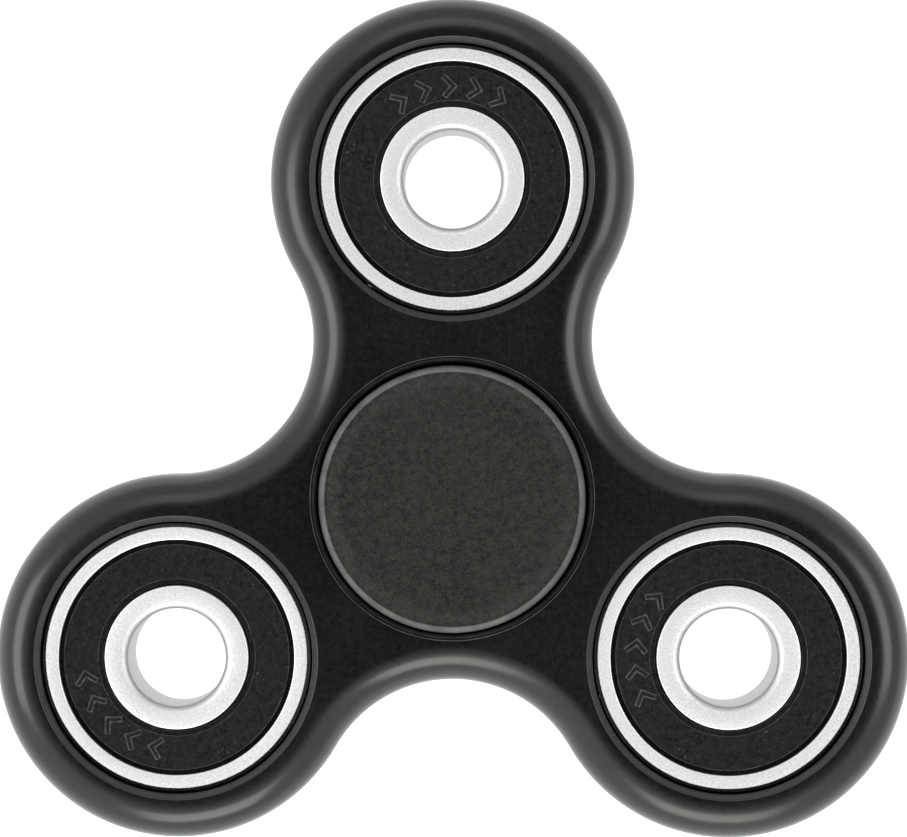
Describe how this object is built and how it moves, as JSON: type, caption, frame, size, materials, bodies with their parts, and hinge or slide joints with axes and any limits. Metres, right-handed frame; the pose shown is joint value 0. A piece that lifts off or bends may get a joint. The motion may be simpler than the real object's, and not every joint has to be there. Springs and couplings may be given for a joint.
{
  "type": "hand spinner",
  "caption": "Three-lobed hand spinner: a rounded plastic body with a sealed ball bearing in each lobe and one in the middle between two round finger caps.",
  "frame": {"origin": "centre of the lower finger cap's flat face, on the spin axis", "axes": "+Z along the spin axis towards the upper cap, +Y towards the north lobe"},
  "size_m": [0.0752, 0.0691, 0.0124],
  "materials": {
    "body_plastic": "satin-gloss moulded black plastic",
    "cap_plastic": "matte moulded charcoal plastic with a fine texture",
    "ring_steel": "fine-ground bearing steel",
    "ball_steel": "lapped bearing balls",
    "cage_steel": "stamped sheet steel",
    "seal_rubber": "matte moulded black rubber"
  },
  "bodies": {
    "hub": {"upper_cap": "cap_plastic", "lower_cap": "cap_plastic", "centre_inner_ring": "ring_steel"},
    "frame": {"body": "body_plastic", "centre_outer_ring": "ring_steel", "centre_seal_upper": "seal_rubber", "centre_seal_lower": "seal_rubber", "north_outer_ring": "ring_steel", "north_seal_upper": "seal_rubber", "north_seal_lower": "seal_rubber", "west_outer_ring": "ring_steel", "west_seal_upper": "seal_rubber", "west_seal_lower": "seal_rubber", "east_outer_ring": "ring_steel", "east_seal_upper": "seal_rubber", "east_seal_lower": "seal_rubber"},
    "centre_cage": {"centre_cage_upper": "cage_steel", "centre_cage_lower": "cage_steel", "centre_cage_rivets": "cage_steel"},
    "centre_ball_1": {"centre_ball_1": "ball_steel"},
    "centre_ball_2": {"centre_ball_2": "ball_steel"},
    "centre_ball_3": {"centre_ball_3": "ball_steel"},
    "centre_ball_4": {"centre_ball_4": "ball_steel"},
    "centre_ball_5": {"centre_ball_5": "ball_steel"},
    "centre_ball_6": {"centre_ball_6": "ball_steel"},
    "centre_ball_7": {"centre_ball_7": "ball_steel"},
    "north_cage": {"north_cage_upper": "cage_steel", "north_cage_lower": "cage_steel", "north_cage_rivets": "cage_steel"},
    "north_inner": {"north_inner_ring": "ring_steel"},
    "north_ball_1": {"north_ball_1": "ball_steel"},
    "north_ball_2": {"north_ball_2": "ball_steel"},
    "north_ball_3": {"north_ball_3": "ball_steel"},
    "north_ball_4": {"north_ball_4": "ball_steel"},
    "north_ball_5": {"north_ball_5": "ball_steel"},
    "north_ball_6": {"north_ball_6": "ball_steel"},
    "north_ball_7": {"north_ball_7": "ball_steel"},
    "west_cage": {"west_cage_upper": "cage_steel", "west_cage_lower": "cage_steel", "west_cage_rivets": "cage_steel"},
    "west_inner": {"west_inner_ring": "ring_steel"},
    "west_ball_1": {"west_ball_1": "ball_steel"},
    "west_ball_2": {"west_ball_2": "ball_steel"},
    "west_ball_3": {"west_ball_3": "ball_steel"},
    "west_ball_4": {"west_ball_4": "ball_steel"},
    "west_ball_5": {"west_ball_5": "ball_steel"},
    "west_ball_6": {"west_ball_6": "ball_steel"},
    "west_ball_7": {"west_ball_7": "ball_steel"},
    "east_cage": {"east_cage_upper": "cage_steel", "east_cage_lower": "cage_steel", "east_cage_rivets": "cage_steel"},
    "east_inner": {"east_inner_ring": "ring_steel"},
    "east_ball_1": {"east_ball_1": "ball_steel"},
    "east_ball_2": {"east_ball_2": "ball_steel"},
    "east_ball_3": {"east_ball_3": "ball_steel"},
    "east_ball_4": {"east_ball_4": "ball_steel"},
    "east_ball_5": {"east_ball_5": "ball_steel"},
    "east_ball_6": {"east_ball_6": "ball_steel"},
    "east_ball_7": {"east_ball_7": "ball_steel"}
  },
  "joints": [
    {"name": "main_spin", "type": "hinge", "parent": "hub", "child": "frame", "pos_m": [0, 0, 0.0062], "axis": [0, 0, 1], "continuous": true},
    {"name": "centre_cage_roll", "type": "hinge", "parent": "hub", "child": "centre_cage", "pos_m": [0, 0, 0.0062], "axis": [0, 0, 1], "continuous": true},
    {"name": "centre_ball_1_roll", "type": "hinge", "parent": "centre_cage", "child": "centre_ball_1", "pos_m": [0.0075, 0, 0.0062], "axis": [0, 0, 1], "continuous": true},
    {"name": "centre_ball_2_roll", "type": "hinge", "parent": "centre_cage", "child": "centre_ball_2", "pos_m": [0.00468, 0.00586, 0.0062], "axis": [0, 0, 1], "continuous": true},
    {"name": "centre_ball_3_roll", "type": "hinge", "parent": "centre_cage", "child": "centre_ball_3", "pos_m": [-0.00167, 0.00731, 0.0062], "axis": [0, 0, 1], "continuous": true},
    {"name": "centre_ball_4_roll", "type": "hinge", "parent": "centre_cage", "child": "centre_ball_4", "pos_m": [-0.00676, 0.00325, 0.0062], "axis": [0, 0, 1], "continuous": true},
    {"name": "centre_ball_5_roll", "type": "hinge", "parent": "centre_cage", "child": "centre_ball_5", "pos_m": [-0.00676, -0.00325, 0.0062], "axis": [0, 0, 1], "continuous": true},
    {"name": "centre_ball_6_roll", "type": "hinge", "parent": "centre_cage", "child": "centre_ball_6", "pos_m": [-0.00167, -0.00731, 0.0062], "axis": [0, 0, 1], "continuous": true},
    {"name": "centre_ball_7_roll", "type": "hinge", "parent": "centre_cage", "child": "centre_ball_7", "pos_m": [0.00468, -0.00586, 0.0062], "axis": [0, 0, 1], "continuous": true},
    {"name": "north_ring_spin", "type": "hinge", "parent": "frame", "child": "north_inner", "pos_m": [0, 0.0261, 0.0062], "axis": [0, 0, 1], "continuous": true},
    {"name": "north_cage_roll", "type": "hinge", "parent": "frame", "child": "north_cage", "pos_m": [0, 0.0261, 0.0062], "axis": [0, 0, 1], "continuous": true},
    {"name": "north_ball_1_roll", "type": "hinge", "parent": "north_cage", "child": "north_ball_1", "pos_m": [0.0075, 0.0261, 0.0062], "axis": [0, 0, 1], "continuous": true},
    {"name": "north_ball_2_roll", "type": "hinge", "parent": "north_cage", "child": "north_ball_2", "pos_m": [0.00468, 0.03196, 0.0062], "axis": [0, 0, 1], "continuous": true},
    {"name": "north_ball_3_roll", "type": "hinge", "parent": "north_cage", "child": "north_ball_3", "pos_m": [-0.00167, 0.03341, 0.0062], "axis": [0, 0, 1], "continuous": true},
    {"name": "north_ball_4_roll", "type": "hinge", "parent": "north_cage", "child": "north_ball_4", "pos_m": [-0.00676, 0.02935, 0.0062], "axis": [0, 0, 1], "continuous": true},
    {"name": "north_ball_5_roll", "type": "hinge", "parent": "north_cage", "child": "north_ball_5", "pos_m": [-0.00676, 0.02285, 0.0062], "axis": [0, 0, 1], "continuous": true},
    {"name": "north_ball_6_roll", "type": "hinge", "parent": "north_cage", "child": "north_ball_6", "pos_m": [-0.00167, 0.01879, 0.0062], "axis": [0, 0, 1], "continuous": true},
    {"name": "north_ball_7_roll", "type": "hinge", "parent": "north_cage", "child": "north_ball_7", "pos_m": [0.00468, 0.02024, 0.0062], "axis": [0, 0, 1], "continuous": true},
    {"name": "west_ring_spin", "type": "hinge", "parent": "frame", "child": "west_inner", "pos_m": [-0.0226, -0.01305, 0.0062], "axis": [0, 0, 1], "continuous": true},
    {"name": "west_cage_roll", "type": "hinge", "parent": "frame", "child": "west_cage", "pos_m": [-0.0226, -0.01305, 0.0062], "axis": [0, 0, 1], "continuous": true},
    {"name": "west_ball_1_roll", "type": "hinge", "parent": "west_cage", "child": "west_ball_1", "pos_m": [-0.0151, -0.01305, 0.0062], "axis": [0, 0, 1], "continuous": true},
    {"name": "west_ball_2_roll", "type": "hinge", "parent": "west_cage", "child": "west_ball_2", "pos_m": [-0.01793, -0.00719, 0.0062], "axis": [0, 0, 1], "continuous": true},
    {"name": "west_ball_3_roll", "type": "hinge", "parent": "west_cage", "child": "west_ball_3", "pos_m": [-0.02427, -0.00574, 0.0062], "axis": [0, 0, 1], "continuous": true},
    {"name": "west_ball_4_roll", "type": "hinge", "parent": "west_cage", "child": "west_ball_4", "pos_m": [-0.02936, -0.0098, 0.0062], "axis": [0, 0, 1], "continuous": true},
    {"name": "west_ball_5_roll", "type": "hinge", "parent": "west_cage", "child": "west_ball_5", "pos_m": [-0.02936, -0.0163, 0.0062], "axis": [0, 0, 1], "continuous": true},
    {"name": "west_ball_6_roll", "type": "hinge", "parent": "west_cage", "child": "west_ball_6", "pos_m": [-0.02427, -0.02036, 0.0062], "axis": [0, 0, 1], "continuous": true},
    {"name": "west_ball_7_roll", "type": "hinge", "parent": "west_cage", "child": "west_ball_7", "pos_m": [-0.01793, -0.01891, 0.0062], "axis": [0, 0, 1], "continuous": true},
    {"name": "east_ring_spin", "type": "hinge", "parent": "frame", "child": "east_inner", "pos_m": [0.0226, -0.01305, 0.0062], "axis": [0, 0, 1], "continuous": true},
    {"name": "east_cage_roll", "type": "hinge", "parent": "frame", "child": "east_cage", "pos_m": [0.0226, -0.01305, 0.0062], "axis": [0, 0, 1], "continuous": true},
    {"name": "east_ball_1_roll", "type": "hinge", "parent": "east_cage", "child": "east_ball_1", "pos_m": [0.0301, -0.01305, 0.0062], "axis": [0, 0, 1], "continuous": true},
    {"name": "east_ball_2_roll", "type": "hinge", "parent": "east_cage", "child": "east_ball_2", "pos_m": [0.02728, -0.00719, 0.0062], "axis": [0, 0, 1], "continuous": true},
    {"name": "east_ball_3_roll", "type": "hinge", "parent": "east_cage", "child": "east_ball_3", "pos_m": [0.02093, -0.00574, 0.0062], "axis": [0, 0, 1], "continuous": true},
    {"name": "east_ball_4_roll", "type": "hinge", "parent": "east_cage", "child": "east_ball_4", "pos_m": [0.01585, -0.0098, 0.0062], "axis": [0, 0, 1], "continuous": true},
    {"name": "east_ball_5_roll", "type": "hinge", "parent": "east_cage", "child": "east_ball_5", "pos_m": [0.01585, -0.0163, 0.0062], "axis": [0, 0, 1], "continuous": true},
    {"name": "east_ball_6_roll", "type": "hinge", "parent": "east_cage", "child": "east_ball_6", "pos_m": [0.02093, -0.02036, 0.0062], "axis": [0, 0, 1], "continuous": true},
    {"name": "east_ball_7_roll", "type": "hinge", "parent": "east_cage", "child": "east_ball_7", "pos_m": [0.02728, -0.01891, 0.0062], "axis": [0, 0, 1], "continuous": true}
  ],
  "couplings": [
    {"joint": "centre_cage_roll", "follows": "main_spin", "ratio": 0.6323},
    {"joint": "centre_ball_1_roll", "follows": "main_spin", "ratio": 1.7573},
    {"joint": "centre_ball_2_roll", "follows": "main_spin", "ratio": 1.7573},
    {"joint": "centre_ball_3_roll", "follows": "main_spin", "ratio": 1.7573},
    {"joint": "centre_ball_4_roll", "follows": "main_spin", "ratio": 1.7573},
    {"joint": "centre_ball_5_roll", "follows": "main_spin", "ratio": 1.7573},
    {"joint": "centre_ball_6_roll", "follows": "main_spin", "ratio": 1.7573},
    {"joint": "centre_ball_7_roll", "follows": "main_spin", "ratio": 1.7573},
    {"joint": "north_cage_roll", "follows": "north_ring_spin", "ratio": 0.3677},
    {"joint": "north_ball_1_roll", "follows": "north_ring_spin", "ratio": -1.7573},
    {"joint": "north_ball_2_roll", "follows": "north_ring_spin", "ratio": -1.7573},
    {"joint": "north_ball_3_roll", "follows": "north_ring_spin", "ratio": -1.7573},
    {"joint": "north_ball_4_roll", "follows": "north_ring_spin", "ratio": -1.7573},
    {"joint": "north_ball_5_roll", "follows": "north_ring_spin", "ratio": -1.7573},
    {"joint": "north_ball_6_roll", "follows": "north_ring_spin", "ratio": -1.7573},
    {"joint": "north_ball_7_roll", "follows": "north_ring_spin", "ratio": -1.7573},
    {"joint": "west_cage_roll", "follows": "west_ring_spin", "ratio": 0.3677},
    {"joint": "west_ball_1_roll", "follows": "west_ring_spin", "ratio": -1.7573},
    {"joint": "west_ball_2_roll", "follows": "west_ring_spin", "ratio": -1.7573},
    {"joint": "west_ball_3_roll", "follows": "west_ring_spin", "ratio": -1.7573},
    {"joint": "west_ball_4_roll", "follows": "west_ring_spin", "ratio": -1.7573},
    {"joint": "west_ball_5_roll", "follows": "west_ring_spin", "ratio": -1.7573},
    {"joint": "west_ball_6_roll", "follows": "west_ring_spin", "ratio": -1.7573},
    {"joint": "west_ball_7_roll", "follows": "west_ring_spin", "ratio": -1.7573},
    {"joint": "east_cage_roll", "follows": "east_ring_spin", "ratio": 0.3677},
    {"joint": "east_ball_1_roll", "follows": "east_ring_spin", "ratio": -1.7573},
    {"joint": "east_ball_2_roll", "follows": "east_ring_spin", "ratio": -1.7573},
    {"joint": "east_ball_3_roll", "follows": "east_ring_spin", "ratio": -1.7573},
    {"joint": "east_ball_4_roll", "follows": "east_ring_spin", "ratio": -1.7573},
    {"joint": "east_ball_5_roll", "follows": "east_ring_spin", "ratio": -1.7573},
    {"joint": "east_ball_6_roll", "follows": "east_ring_spin", "ratio": -1.7573},
    {"joint": "east_ball_7_roll", "follows": "east_ring_spin", "ratio": -1.7573}
  ]
}
